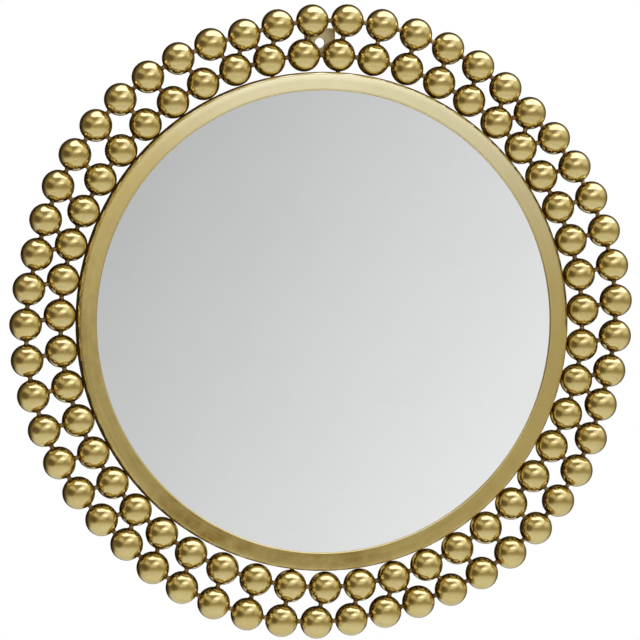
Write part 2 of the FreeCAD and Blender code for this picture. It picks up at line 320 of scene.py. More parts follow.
class WeldTintAndShade(SharedEffect):
    """Brown heat tint round the welds between the balls of a ring-shaped row and where the two rows meet, which also
    paints shade where the balls face each other.
    """

    name = "weld tint and painted shade"
    takes = (
        ("Row Radius", "NodeSocketFloat", 0.3233),
        ("Count", "NodeSocketFloat", 47.0),
        ("Start", "NodeSocketFloat", 0.0),
        ("Valley Radius", "NodeSocketFloat", 0.343),
        ("Reach", "NodeSocketFloat", 0.0112),
    )
    gives = (("Mask", "NodeSocketFloat"),)

    @classmethod
    def build(cls, graph: Graph, given: Any) -> dict[str, Any]:
        """Distance to the nearest weld, broken up with noise."""
        at = graph.coords()
        radius, angle, along = graph.polar(at)
        turn = graph.math("SUBTRACT", angle, given["Start"])
        step = graph.math("DIVIDE", 2.0 * math.pi, given["Count"])
        past = graph.math("SUBTRACT", graph.math("FRACT", graph.math("DIVIDE", turn, step)), 0.5)
        aside = graph.math("MULTIPLY", graph.math("MULTIPLY", past, step), radius)
        depth = graph.math("SUBTRACT", along, BALL_PLANE)
        row = graph.length(graph.vector(graph.math("SUBTRACT", radius, given["Row Radius"]), aside, depth))
        valley = graph.length(graph.vector(graph.math("SUBTRACT", radius, given["Valley Radius"]), 0.0, depth))
        near = graph.math("MINIMUM", row, graph.math("MULTIPLY", valley, 1.25))
        ragged = graph.math("MULTIPLY_ADD", graph.noise(at, 220.0, 3.0), 0.004, near)
        return {"Mask": graph.span(ragged, graph.math("MULTIPLY", given["Reach"], 0.55),
                                   graph.math("MULTIPLY", given["Reach"], 1.35), 1.0, 0.0, smooth=True)}


class Hairlines(SharedEffect):
    """Fine scratches that cross in three directions, and small pits."""

    name = "hairlines"
    takes = (("Scale", "NodeSocketFloat", 60.0), ("Pit Scale", "NodeSocketFloat", 90.0))
    gives = (("Scratch", "NodeSocketFloat"), ("Pit", "NodeSocketFloat"))

    @classmethod
    def build(cls, graph: Graph, given: Any) -> dict[str, Any]:
        """Stretched noise that is cut down to its crests, and the middles of sparse cells."""
        lines: Any = 0.0
        source = graph.coords()
        for turn, tilt in ((0.4, 0.3), (1.5, 1.1), (2.6, 0.7)):
            inputs = {"Vector": source, "Rotation": (tilt, turn, tilt * 2.0), "Scale": (1.0, 14.0, 1.0)}
            at = graph.add("ShaderNodeMapping", inputs).outputs["Vector"]
            crest = graph.span(graph.noise(at, given["Scale"], 2.0), 0.66, 0.74)
            lines = graph.math("MAXIMUM", lines, crest)
        cells = graph.add("ShaderNodeTexVoronoi", {"Vector": source, "Scale": given["Pit Scale"]})
        seed = graph.add("ShaderNodeSeparateColor", {"Color": cells.outputs["Color"]}).outputs[0]
        rare = graph.math("GREATER_THAN", seed, 0.93)
        middle = graph.span(cells.outputs["Distance"], 0.05, 0.11, 1.0, 0.0)
        return {"Scratch": lines, "Pit": graph.math("MULTIPLY", rare, middle)}


class Grit(SharedEffect):
    """Speckled stuff made of fibres or crumbs, such as board, cork, felt or foam."""

    name = "grit"
    takes = (
        ("Dark", "NodeSocketColor", PURE_WHITE),
        ("Light", "NodeSocketColor", PURE_WHITE),
        ("Scale", "NodeSocketFloat", 400.0),
        ("Fibre", "NodeSocketFloat", 0.5),
    )
    gives = (("Color", "NodeSocketColor"), ("Height", "NodeSocketFloat"))

    @classmethod
    def build(cls, graph: Graph, given: Any) -> dict[str, Any]:
        """Crumbs from cells and fibres from stretched noise."""
        source = graph.coords()
        cells = graph.add("ShaderNodeTexVoronoi", {"Vector": source, "Scale": given["Scale"]})
        crumb = graph.math("SUBTRACT", 1.0, cells.outputs["Distance"], clamp=True)
        fibre: Any = 0.0
        for turn in (0.5, 2.1):
            inputs = {"Vector": source, "Rotation": (0.0, turn, 0.0), "Scale": (0.12, 1.0, 1.0)}
            at = graph.add("ShaderNodeMapping", inputs).outputs["Vector"]
            fibre = graph.math("MAXIMUM", fibre, graph.noise(at, given["Scale"], 3.0, 0.7))
        threads = graph.span(fibre, 0.35, 0.75)
        height = graph.add("ShaderNodeMix", {0: given["Fibre"], 2: crumb, 3: threads}).outputs[0]
        cloud = graph.noise(source, graph.math("MULTIPLY", given["Scale"], 0.04), 4.0)
        shade = graph.math("MULTIPLY_ADD", cloud, 0.5, graph.math("MULTIPLY", height, 0.6))
        return {"Color": graph.mix(graph.span(shade, 0.3, 0.85), given["Dark"], given["Light"]), "Height": height}


# ---- finishes ---------------------------------------------------------------------------------


@dataclass(frozen=True)
class Finish:
    """A material of one kind, with its own values."""

    label: str

    def material(self) -> bpy.types.Material:
        """The material, which is built when it is first asked for."""
        found = bpy.data.materials.get(self.label)
        if found is not None:
            return found
        made = bpy.data.materials.new(self.label)
        graph = fresh(made)
        shader = graph.add("ShaderNodeBsdfPrincipled")
        graph.add("ShaderNodeOutputMaterial", {"Surface": shader.outputs[0]})
        self.dress(graph, shader)
        return made

    def dress(self, graph: Graph, shader: bpy.types.Node) -> None:
        """Set the shader's sockets.

        Args:
            graph: the material's graph.
            shader: its Principled BSDF.
        """
        raise NotImplementedError

    def bump(self, graph: Graph, shader: bpy.types.Node, height: Any, depth: float, strength: float = 1.0) -> None:
        """Join a height to the shader's normal.

        Args:
            graph: the material's graph.
            shader: its Principled BSDF.
            height: output from 0 to 1.
            depth: metres from 0 to 1 of the height.
            strength: share of the effect.
        """
        node = graph.add("ShaderNodeBump", {"Height": height, "Distance": depth, "Strength": strength})
        graph.feed(shader, "Normal", node.outputs["Normal"])


@dataclass(frozen=True)
class PolishedBrass(Finish):
    """Buffed and lacquered brass with hairlines, pits and a breath of tarnish."""

    clean: Colour = (0.72, 0.60, 0.27)
    tarnished: Colour = (0.60, 0.46, 0.18)
    roughness: float = 0.13
    tarnish_scale: float = 26.0
    tarnish_amount: float = 0.45
    scratch_scale: float = 150.0
    pit_scale: float = 160.0
    pit_colour: Colour = (0.10, 0.06, 0.03)
    row_radius: float = 0.3233
    row_count: int = 47
    row_start: float = 0.0
    weld_tint_and_shade_colour: Colour = (0.20, 0.12, 0.06)
    weld_tint_and_shade_share: float = 0.88

    def dress(self, graph: Graph, shader: bpy.types.Node) -> None:
        """Metal whose gloss breaks at scratches and tarnish, and that browns round its welds, as heat tint and as
        painted shade between the balls.
        """
        cloud = Tarnish.use(graph, Clean=self.clean, Tarnished=self.tarnished,
                            Scale=self.tarnish_scale, Amount=self.tarnish_amount)
        marks = Hairlines.use(graph, Scale=self.scratch_scale, Pit_Scale=self.pit_scale)
        tint_and_shade = WeldTintAndShade.use(graph, Row_Radius=self.row_radius, Count=float(self.row_count), Start=self.row_start)
        # heat tint and painted shade: dark brown near the welds and in the valley between the rows, where the balls
        # shade each other
        tinted_and_shaded = graph.mix(graph.math("MULTIPLY", tint_and_shade["Mask"], self.weld_tint_and_shade_share), cloud["Color"], self.weld_tint_and_shade_colour)
        colour = graph.mix(graph.math("MULTIPLY", marks["Pit"], 0.85), tinted_and_shaded, self.pit_colour)
        dulled = graph.math("MULTIPLY_ADD", cloud["Mask"], 0.10, self.roughness)
        rough = graph.math("MULTIPLY_ADD", marks["Scratch"], 0.10, dulled)
        graph.feed(shader, "Base Color", colour)
        graph.feed(shader, "Roughness", rough)
        graph.feed(shader, "Metallic", 1.0)
        sunk = graph.math("MAXIMUM", marks["Pit"], graph.math("MULTIPLY", marks["Scratch"], 0.06))
        self.bump(graph, shader, graph.math("SUBTRACT", 1.0, sunk), 0.00012, 0.6)


@dataclass(frozen=True)
class TurnedBrass(Finish):
    """Brass with a fine grain brushed round the mirror's axis, a paler colour painted at the top as a painted
    highlight, and tarnish with painted shade towards the bottom and lower left.
    """

    clean: Colour = (0.74, 0.61, 0.26)
    tarnished: Colour = (0.43, 0.29, 0.085)
    # paler, whiter colour painted at the top of the ring as a painted highlight
    painted_top_highlight: Colour = (0.89, 0.82, 0.53)
    roughness: float = 0.36
    anisotropy: float = 0.35
    sight_radius: float = 0.280
    outer_radius: float = 0.3025
    dish_slope: float = 0.100
    roll_width: float = 0.010
    roll_slope: float = 0.12
    nose_width: float = 0.0021
    nose_slope: float = 0.95
    fine_lines: float = 2600.0
    broad_lines: float = 260.0
    # tarnish and painted shade gather towards the bottom and lower left of the ring
    tarnish_and_shade_side: tuple[float, float, float] = (-0.55, 0.0, -0.83)
    painted_highlight_side: tuple[float, float, float] = (0.26, 0.0, 0.97)

    def grain(self, graph: Graph, radius: Any, angle: Any, depth: Any, lines: float, turns: float) -> Any:
        """Streaks that run round the ring.

        Args:
            graph: the material's graph.
            radius: output with the distance from the mirror's axis.
            angle: output with the angle round the axis.
            depth: output with the place along the axis.
            lines: streaks to a metre across the ring.
            turns: changes along a streak to a radian.

        Returns:
            Value from 0 to 1.
        """
        at = graph.vector(graph.math("MULTIPLY", radius, lines), graph.math("MULTIPLY", angle, turns),
                          graph.math("MULTIPLY", depth, lines))
        return graph.noise(at, 1.0, 4.0, 0.62)

    def dress(self, graph: Graph, shader: bpy.types.Node) -> None:
        """Metal whose grain runs round the ring, with a paler colour painted along both edges as a painted highlight
        and less roughness there.
        """
        at = graph.coords()
        radius, angle, depth = graph.polar(at)
        fine = self.grain(graph, radius, angle, depth, self.fine_lines, 2.2)
        broad = self.grain(graph, radius, angle, depth, self.broad_lines, 3.0)
        place = graph.minus(at, MIRROR_CENTRE)
        # tarnish and painted shade: browner and darker towards the bottom and lower left
        tarnish_and_shade = graph.span(graph.dot(place, self.tarnish_and_shade_side), -0.02, 0.28, 0.12, 1.0, smooth=True)
        # painted highlight: the colour turns paler towards the top of the ring, where the light from above falls
        painted_highlight_mask = graph.span(graph.dot(place, self.painted_highlight_side), 0.08, 0.28, smooth=True)
        clean = graph.mix(painted_highlight_mask, self.clean, self.painted_top_highlight)
        streaked = graph.math("MULTIPLY", tarnish_and_shade, graph.span(broad, 0.38, 0.60, 0.50, 1.10))
        cloud = Tarnish.use(graph, Clean=clean, Tarnished=self.tarnished, Scale=9.0, Amount=streaked)
        streaks = graph.math("MULTIPLY_ADD", fine, 0.4, graph.math("MULTIPLY", broad, 0.6))
        # painted shade: the grain's dark streaks deepen towards the bottom and lower left
        shade = graph.span(streaks, 0.35, 0.65, graph.math("MULTIPLY_ADD", tarnish_and_shade, -0.24, 0.96), 1.0)
        dulled = graph.mix(1.0, cloud["Color"], graph.mix(shade, BLACK, PURE_WHITE), Blend.MULTIPLY)
        from_edge = graph.math("MINIMUM", graph.math("SUBTRACT", radius, self.sight_radius),
                               graph.math("SUBTRACT", self.outer_radius, radius))
        # painted highlight: a paler colour along the sight edge and the outer edge, where the rounded corners catch
        # the light; the roughness drops there too
        edge_highlight = graph.span(from_edge, 0.0006, 0.0026, 0.75, 0.0, smooth=True)
        graph.feed(shader, "Base Color", graph.mix(edge_highlight, dulled, (0.80, 0.68, 0.34)))
        rough = graph.math("MULTIPLY_ADD", broad, 0.10, self.roughness - 0.05)
        graph.feed(shader, "Roughness", graph.math("MULTIPLY_ADD", edge_highlight, -0.14, rough))
        graph.feed(shader, "Metallic", 1.0)
        graph.feed(shader, "Anisotropic", self.anisotropy)
        tangent = graph.add("ShaderNodeTangent", direction_type="RADIAL", axis="Y")
        graph.feed(shader, "Tangent", tangent.outputs["Tangent"])
        grain = graph.add("ShaderNodeBump", {"Height": fine, "Distance": 0.00003, "Strength": 0.5})
        graph.feed(grain, "Normal", self.dish(graph, radius))
        graph.feed(shader, "Normal", grain.outputs["Normal"])

    def dish(self, graph: Graph, radius: Any) -> bpy.types.NodeSocket:
        """Normal of a lip that falls back a little from the glass and rolls over towards both edges.

        Args:
            graph: the material's graph.
            radius: output with the distance from the mirror's axis.

        Returns:
            The normal output.
        """
        out = graph.math("SUBTRACT", radius, self.sight_radius)
        fall = graph.math("MULTIPLY", out, self.dish_slope)
        past = graph.math("MAXIMUM", graph.math("SUBTRACT", radius, self.outer_radius - self.roll_width), 0.0)
        curve = graph.math("MULTIPLY", graph.math("MULTIPLY", past, past), self.roll_slope / (2.0 * self.roll_width))
        short = graph.math("MAXIMUM", graph.math("SUBTRACT", self.nose_width, out), 0.0)
        nose = graph.math("MULTIPLY", graph.math("MULTIPLY", short, short), self.nose_slope / (2.0 * self.nose_width))
        height = graph.math("MULTIPLY", graph.math("ADD", nose, graph.math("ADD", fall, curve)), -1000.0)
        return graph.add("ShaderNodeBump", {"Height": height, "Distance": 0.001, "Strength": 1.0}).outputs["Normal"]


@dataclass(frozen=True)
class WeldBrass(Finish):
    """Plated weld metal with heat tint and a rippled skin."""

    clean: Colour = (0.50, 0.37, 0.17)
    tinted: Colour = (0.17, 0.10, 0.05)
    roughness: float = 0.30
    cloud_scale: float = 90.0
    ripple_scale: float = 900.0

    def dress(self, graph: Graph, shader: bpy.types.Node) -> None:
        """Metal that turns brown in clouds."""
        cloud = Tarnish.use(graph, Clean=self.clean, Tarnished=self.tinted, Scale=self.cloud_scale, Amount=0.8)
        ripple = graph.noise(graph.coords(), self.ripple_scale, 3.0)
        graph.feed(shader, "Base Color", cloud["Color"])
        graph.feed(shader, "Roughness", graph.math("MULTIPLY_ADD", cloud["Mask"], 0.2, self.roughness))
        graph.feed(shader, "Metallic", 1.0)
        self.bump(graph, shader, ripple, 0.0003, 0.7)


@dataclass(frozen=True)
class SheetMetal(Finish):
    """Flat plate or strip, or a plated fastener, with hairlines and a little tarnish."""

    clean: Colour = (0.62, 0.61, 0.58)
    tarnished: Colour = (0.35, 0.30, 0.25)
    roughness: float = 0.32
    tarnish_scale: float = 60.0
    tarnish_amount: float = 0.5
    scratch_scale: float = 220.0
    pit_scale: float = 300.0

    def dress(self, graph: Graph, shader: bpy.types.Node) -> None:
        """Satin metal with scratches that catch the light."""
        cloud = Tarnish.use(graph, Clean=self.clean, Tarnished=self.tarnished,
                            Scale=self.tarnish_scale, Amount=self.tarnish_amount)
        marks = Hairlines.use(graph, Scale=self.scratch_scale, Pit_Scale=self.pit_scale)
        graph.feed(shader, "Base Color", graph.mix(graph.math("MULTIPLY", marks["Pit"], 0.6),
                                                   cloud["Color"], self.tarnished))
        dulled = graph.math("MULTIPLY_ADD", cloud["Mask"], 0.18, self.roughness)
        graph.feed(shader, "Roughness", graph.math("MULTIPLY_ADD", marks["Scratch"], -0.12, dulled))
        graph.feed(shader, "Metallic", 1.0)
        self.bump(graph, shader, graph.math("SUBTRACT", 1.0, marks["Scratch"]), 0.00003, 0.6)


@dataclass(frozen=True)
class SilveredGlass(Finish):
    """Mirror glass, with the faint film that wiping leaves."""

    silver: Colour = (0.925, 0.935, 0.935)
    film: Colour = (0.90, 0.91, 0.91)
    film_scale: float = 7.0
    scratch_scale: float = 35.0
    pit_scale: float = 55.0

    def dress(self, graph: Graph, shader: bpy.types.Node) -> None:
        """Clear mirror whose wiped film shows only close up."""
        cloud = Tarnish.use(graph, Clean=self.silver, Tarnished=self.film, Scale=self.film_scale, Amount=0.6)
        marks = Hairlines.use(graph, Scale=self.scratch_scale, Pit_Scale=self.pit_scale)
        graph.feed(shader, "Base Color", graph.mix(graph.math("MULTIPLY", marks["Pit"], 0.05),
                                                   cloud["Color"], (0.6, 0.6, 0.58)))
        film = graph.math("MULTIPLY_ADD", cloud["Mask"], 0.012, 0.004)
        graph.feed(shader, "Roughness", graph.math("MULTIPLY_ADD", marks["Scratch"], 0.004, film))
        graph.feed(shader, "Metallic", 1.0)


@dataclass(frozen=True)
class SoftStuff(Finish):
    """Matt stuff of fibres or crumbs."""

    dark: Colour = (0.2, 0.2, 0.2)
    light: Colour = (0.3, 0.3, 0.3)
    scale: float = 500.0
    fibre: float = 0.5
    depth: float = 0.0003
    roughness: float = 0.9
    fuzz: float = 0.0

    def dress(self, graph: Graph, shader: bpy.types.Node) -> None:
        """Speckled and slightly rough to the touch."""
        grit = Grit.use(graph, Dark=self.dark, Light=self.light, Scale=self.scale, Fibre=self.fibre)
        graph.feed(shader, "Base Color", grit["Color"])
        graph.feed(shader, "Roughness", graph.math("MULTIPLY_ADD", grit["Height"], 0.1, self.roughness - 0.1))
        graph.feed(shader, "Sheen Weight", self.fuzz)
        self.bump(graph, shader, grit["Height"], self.depth)


# ---- the mirror's parts -----------------------------------------------------------------------

WELD = WeldBrass("weld brass")


@dataclass
class SubAssembly:
    """Pieces that belong together."""

    title: str = "sub-assembly"

    def finishes(self) -> dict[str, Finish]:
        """Finish of each node that keeps its own solid, if any."""
        return {}

    def build(self) -> None:
        """Dress the nodes that keep their own solids. Dress the nodes, and add the
        pieces that stand for others.
        """
        for name, finish in self.finishes().items():
            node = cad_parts[name]
            node.data.materials.clear()
            node.data.materials.append(finish.material())
            log.info("%s: %s in %s", self.title, name, finish.label)

    def stand_in(self, name: str, points: list[Vector], faces: list[tuple[int, ...]], finish: Finish,
                 slot: str) -> None:
        """Add a smooth mesh in place of one of the nodes.

        Args:
            name: the node that it stands for.
            points: its corners, in metres.
            faces: its faces.
            finish: its finish.
            slot: the material slot that the finish belongs to; not used.
        """
        mesh = bpy.data.meshes.new(name + "_skin")
        mesh.from_pydata([tuple(point) for point in points], [], faces)
        mesh.polygons.foreach_set("use_smooth", [True] * len(faces))
        mesh.materials.append(finish.material())
        piece = bpy.data.objects.new(name + "_skin", mesh)
        bpy.context.scene.collection.objects.link(piece)
        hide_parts(name)
        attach(piece, "root")
        log.info("%s: %s built with %d faces, in %s", self.title, name, len(faces), finish.label)


@dataclass
class FrameRing(SubAssembly):
    """Rolled ring that holds the glass, and its welds to the balls."""

    title: str = "frame"
    sight_radius: float = 0.280
    outer_radius: float = 0.3025

    def finishes(self) -> dict[str, Finish]:
        """Brass turned about the mirror's axis, and plain weld metal."""
        return {
            "frame_ring": TurnedBrass("turned brass", sight_radius=self.sight_radius, outer_radius=self.outer_radius),
            "frame_welds": WELD,
        }


@dataclass
class BallRows(SubAssembly):
    """Two nested rows of balls, and the beads that join them."""

    title: str = "balls"
    ball_radius: float = 0.020
    ball_plane: float = BALL_PLANE
    inner_radius: float = 0.3233
    inner_count: int = 47
    inner_start: float = 3.44
    outer_count: int = 53
    outer_start: float = 4.69
    bead_waist: float = 0.0026
    bead_flare: float = 0.0039
    longest_bridge: float = 0.0042
    lump_scale: float = 330.0
    lump_share: float = 0.13
    dent_scale: float = 1100.0
    dent_share: float = 0.05
    ripple_share: float = 0.035
    sides: int = 22
    stations: int = 13
    subdivisions: int = 4
    facet_depth: float = 0.00011
    bead_sink: float = 0.0002

    def inner_finish(self) -> PolishedBrass:
        """Polished brass, browned round the welds of the inner row by heat tint and painted shade."""
        return PolishedBrass("polished brass, inner row", row_radius=self.inner_radius,
                             row_count=self.inner_count, row_start=math.radians(self.inner_start))

    def outer_finish(self) -> PolishedBrass:
        """Polished brass, browned round the welds of the outer row by heat tint and painted shade."""
        return PolishedBrass("polished brass, outer row", row_radius=self.inner_radius + 0.93 * self.pitch,
                             row_count=self.outer_count, row_start=math.radians(self.outer_start))

    @property
    def pitch(self) -> float:
        """Distance between the centres of neighbouring inner balls."""
        return 2.0 * self.inner_radius * math.sin(math.pi / self.inner_count)

    def on_clock(self, radius: float, turn: float) -> Vector:
        """Ball centre at a clockwise angle from the top, seen from the front."""
        forward = self.ball_plane - MIRROR_CENTRE.y
        return MIRROR_CENTRE + Vector((radius * math.sin(turn), forward, radius * math.cos(turn)))

    def inner_centres(self) -> list[Vector]:
        """Centres of the row that stands round the frame."""
        step = 2.0 * math.pi / self.inner_count
        start = math.radians(self.inner_start)
        return [self.on_clock(self.inner_radius, start + step * i) for i in range(self.inner_count)]

    def outer_centres(self) -> list[Vector]:
        """Centres of the row that nests in the gaps of the inner one."""
        step = 2.0 * math.pi / self.inner_count
        centres = []
        for i in range(self.outer_count):
            turn = math.radians(self.outer_start) + 2.0 * math.pi * i / self.outer_count
            past = (turn - math.radians(self.inner_start)) % step
            near = min(past, step - past)
            aside = self.inner_radius * math.sin(near)
            radius = self.inner_radius * math.cos(near) + math.sqrt(self.pitch ** 2 - aside ** 2)
            centres.append(self.on_clock(radius, turn))
        return centres

    def balls(self, name: str, centres: list[Vector], finish: Finish) -> None:
        """Add a row of balls without poles or seams, which would show in the polish.

        They lie inside the true spheres by the depth of the facets on the solids.

        Args:
            name: the node that the row stands for.
            centres: centre of each ball.
            finish: their finish.
        """
        shape = bmesh.new()
        bmesh.ops.create_icosphere(shape, subdivisions=self.subdivisions, radius=self.ball_radius - self.facet_depth)
        shape.verts.index_update()
        corners = [corner.co.copy() for corner in shape.verts]
        sides = [tuple(corner.index for corner in face.verts) for face in shape.faces]
        shape.free()
        points = [centre + corner for centre in centres for corner in corners]
        faces = [tuple(len(corners) * i + corner for corner in face) for i in range(len(centres)) for face in sides]
        self.stand_in(name, points, faces, finish, "polished_brass")

    def bead(self, start: Vector, end: Vector, points: list[Vector], faces: list[tuple[int, ...]]) -> None:
        """Add an uneven, rippled bead between two balls, closed against both.

        Args:
            start: centre of one ball.
            end: centre of the other.
            points: the mesh's corners so far, which grow.
            faces: its faces so far, which grow.
        """
        axis = (end - start).normalized()
        middle, half = (start + end) / 2.0, (end - start).length / 2.0
        across = axis.orthogonal().normalized()
        beside = axis.cross(across)
        base = len(points)
        seats = (0.5, 0.85)
        rings = [(-1.0, share) for share in seats]
        rings += [(2.0 * i / (self.stations - 1) - 1.0, 1.0) for i in range(self.stations)]
        rings += [(1.0, share) for share in reversed(seats)]
        for along, share in rings:
            for side in range(self.sides):
                turn = 2.0 * math.pi * side / self.sides
                outward = across * math.cos(turn) + beside * math.sin(turn)
                lump = noise.noise((middle + outward * 0.004 + axis * along * 0.003) * self.lump_scale)
                dent = noise.noise((middle + outward * 0.004 + axis * along * 0.004) * self.dent_scale)
                ripple = math.sin(along * 13.0 + 2.0 * lump + turn * 0.5) * (1.0 - along * along)
                uneven = 1.0 + self.lump_share * lump + self.dent_share * dent
                wide = self.bead_waist + (self.bead_flare - self.bead_waist) * along * along
                wide *= uneven + self.ripple_share * ripple
                flare = self.bead_flare * uneven
                reach = half - math.sqrt(self.ball_radius ** 2 - (flare * share) ** 2) + self.bead_sink
                points.append(middle + axis * (along * reach) + outward * (wide * share))
        for ring in range(len(rings) - 1):
            for side in range(self.sides):
                after = (side + 1) % self.sides
                low, high = base + ring * self.sides, base + (ring + 1) * self.sides
                faces.append((low + side, low + after, high + after, high + side))
        last = base + (len(rings) - 1) * self.sides
        faces.append(tuple(base + side for side in reversed(range(self.sides))))
        faces.append(tuple(last + side for side in range(self.sides)))

    def build(self) -> None:
        """Lay the balls and their beads."""
        inner, outer = self.inner_centres(), self.outer_centres()
        self.balls("inner_balls", inner, self.inner_finish())
        self.balls("outer_balls", outer, self.outer_finish())
        near = 2.0 * self.ball_radius + self.longest_bridge
        joined = {
            "inner_row_welds": [(inner[i - 1], inner[i]) for i in range(len(inner))],
            "outer_row_welds": [(outer[i - 1], outer[i]) for i in range(len(outer))],
            "row_to_row_welds": [(low, high) for high in outer for low in inner if (high - low).length < near],
        }
        for name, pairs in joined.items():
            points: list[Vector] = []
            faces: list[tuple[int, ...]] = []
            for start, end in pairs:
                self.bead(start, end, points, faces)
            self.stand_in(name, points, faces, WELD, "weld_brass")


@dataclass
class HangingPlate(SubAssembly):
    """Plate with the hanging hole, its welds, and the felt pads that match it lower down."""

    title: str = "hanging plate"
    pile: float = 0.0004

    def finishes(self) -> dict[str, Finish]:
        """Satin brass, weld metal and felt."""
        return {
            "hanging_plate": SheetMetal("satin brass plate", clean=(0.88, 0.80, 0.52), tarnished=(0.66, 0.54, 0.29),
                                        roughness=0.40),
            "plate_welds": WELD,
            "wall_pads": SoftStuff("felt", dark=(0.10, 0.095, 0.09), light=(0.24, 0.225, 0.21), scale=1500.0,
                                   fibre=0.9, depth=self.pile, fuzz=0.4),
        }


@dataclass
class MirrorGlass(SubAssembly):
    """Silvered glass with the tape and cork that seat it."""

    title: str = "glass"
    foam_cell: float = 1 / 1800.0
    cork_crumb: float = 1 / 700.0

    def finishes(self) -> dict[str, Finish]:
        """Mirror, black foam and pressed cork."""
        return {
            "mirror_glass": SilveredGlass("silvered glass"),
            "glazing_tape": SoftStuff("tape", dark=(0.02, 0.02, 0.02), light=(0.05, 0.05, 0.05),
                                      scale=1.0 / self.foam_cell, fibre=0.1),
            "glass_spacers": SoftStuff("cork", dark=(0.22, 0.13, 0.07), light=(0.52, 0.37, 0.22),
                                       scale=1.0 / self.cork_crumb, fibre=0.1, depth=0.0004),
        }


@dataclass
class MirrorBack(SubAssembly):
    """Backing board with the tabs and screws that hold it."""

    title: str = "back"
    board_fibre: float = 1 / 420.0

    def finishes(self) -> dict[str, Finish]:
        """Brown fibreboard, plain steel and zinc plate."""
        return {
            "backing_board": SoftStuff("fibreboard", dark=(0.16, 0.095, 0.05), light=(0.36, 0.24, 0.14),
                                       scale=1.0 / self.board_fibre, fibre=0.85, depth=0.0002, roughness=0.8),
            "board_tabs": SheetMetal("plain steel", clean=(0.50, 0.49, 0.47), tarnished=(0.26, 0.20, 0.15),
                                     roughness=0.38),
            "board_screws": SheetMetal("zinc plate", clean=(0.68, 0.68, 0.66), tarnished=(0.52, 0.50, 0.42),
                                       roughness=0.24, tarnish_scale=150.0),
        }


# ---- studio -----------------------------------------------------------------------------------


@dataclass(frozen=True)
class Panel:
    """Soft oval in the studio, as metal and glass see it: light that is added, or a shade that is multiplied.

    Angles are in degrees. An azimuth counts to the right from the camera, as seen from the mirror's front.
    """

    azimuth: float
    elevation: float
    end_azimuth: float
    end_elevation: float
    half_width: float
    soft: float
    colour: Colour
    blend: Blend = Blend.ADD

    def mask(self, graph: Graph, direction: Any) -> bpy.types.NodeSocket:
        """How much of the panel lies in a direction.

        Args:
            graph: the world's graph.
            direction: output with the direction that is looked at.

        Returns:
            1 well inside the oval and 0 outside it.
        """
        middle = toward(VIEW_AZIMUTH + self.azimuth, self.elevation)
        end = toward(VIEW_AZIMUTH + self.end_azimuth, self.end_elevation)
        along = (end - middle * end.dot(middle)).normalized()
        length = math.tan(middle.angle(end))
        width = math.tan(math.radians(self.half_width))
        ahead = graph.dot(direction, middle)
        depth = graph.math("MAXIMUM", ahead, 0.001)
        far = graph.math("DIVIDE", graph.dot(direction, along / length), depth)
        wide = graph.math("DIVIDE", graph.dot(direction, middle.cross(along) / width), depth)
        reach = graph.length(graph.vector(far, wide))
        return graph.span(reach, 1.0 - self.soft, 1.0 + self.soft, 1.0, 0.0, smooth=True)


@dataclass(frozen=True)
class Lamp:
    """Soft rectangular lamp that faces the mirror and dims towards its edges.

    Azimuth and elevation are in degrees from straight ahead of the glass, lengths in metres and power in watts.
    """

    title: str
    azimuth: float
    elevation: float
    distance: float
    size: tuple[float, float]
    power: float
    colour: Colour = PURE_WHITE
    glossy: bool = False

    def build(self) -> None:
        """Add the lamp, which metal and glass show only if it is glossy."""
        data = bpy.data.lights.new(self.title, "AREA")
        data.shape = "RECTANGLE"
        data.size, data.size_y = self.size
        data.energy = self.power
        data.color = self.colour
        graph = fresh(data)
        place = graph.add("ShaderNodeNewGeometry").outputs["Parametric"]
        axes = graph.add("ShaderNodeSeparateXYZ", {"Vector": graph.minus(place, (0.5, 0.5, 0.0))}).outputs
        reach = graph.length(graph.vector(axes["X"], axes["Y"]))
        glow = graph.span(reach, 0.10, 0.5, 1.0, 0.0, smooth=True)
        emission = graph.add("ShaderNodeEmission", {"Color": PURE_WHITE, "Strength": glow})
        graph.add("ShaderNodeOutputLight", {"Surface": emission.outputs[0]})
        lamp = bpy.data.objects.new(self.title, data)
        direction = toward(self.azimuth, self.elevation)
        lamp.location = MIRROR_CENTRE + direction * self.distance
        lamp.rotation_euler = direction.to_track_quat("Z", "Y").to_euler()
        lamp.visible_glossy = self.glossy
        lamp.visible_camera = False
        bpy.context.scene.collection.objects.link(lamp)


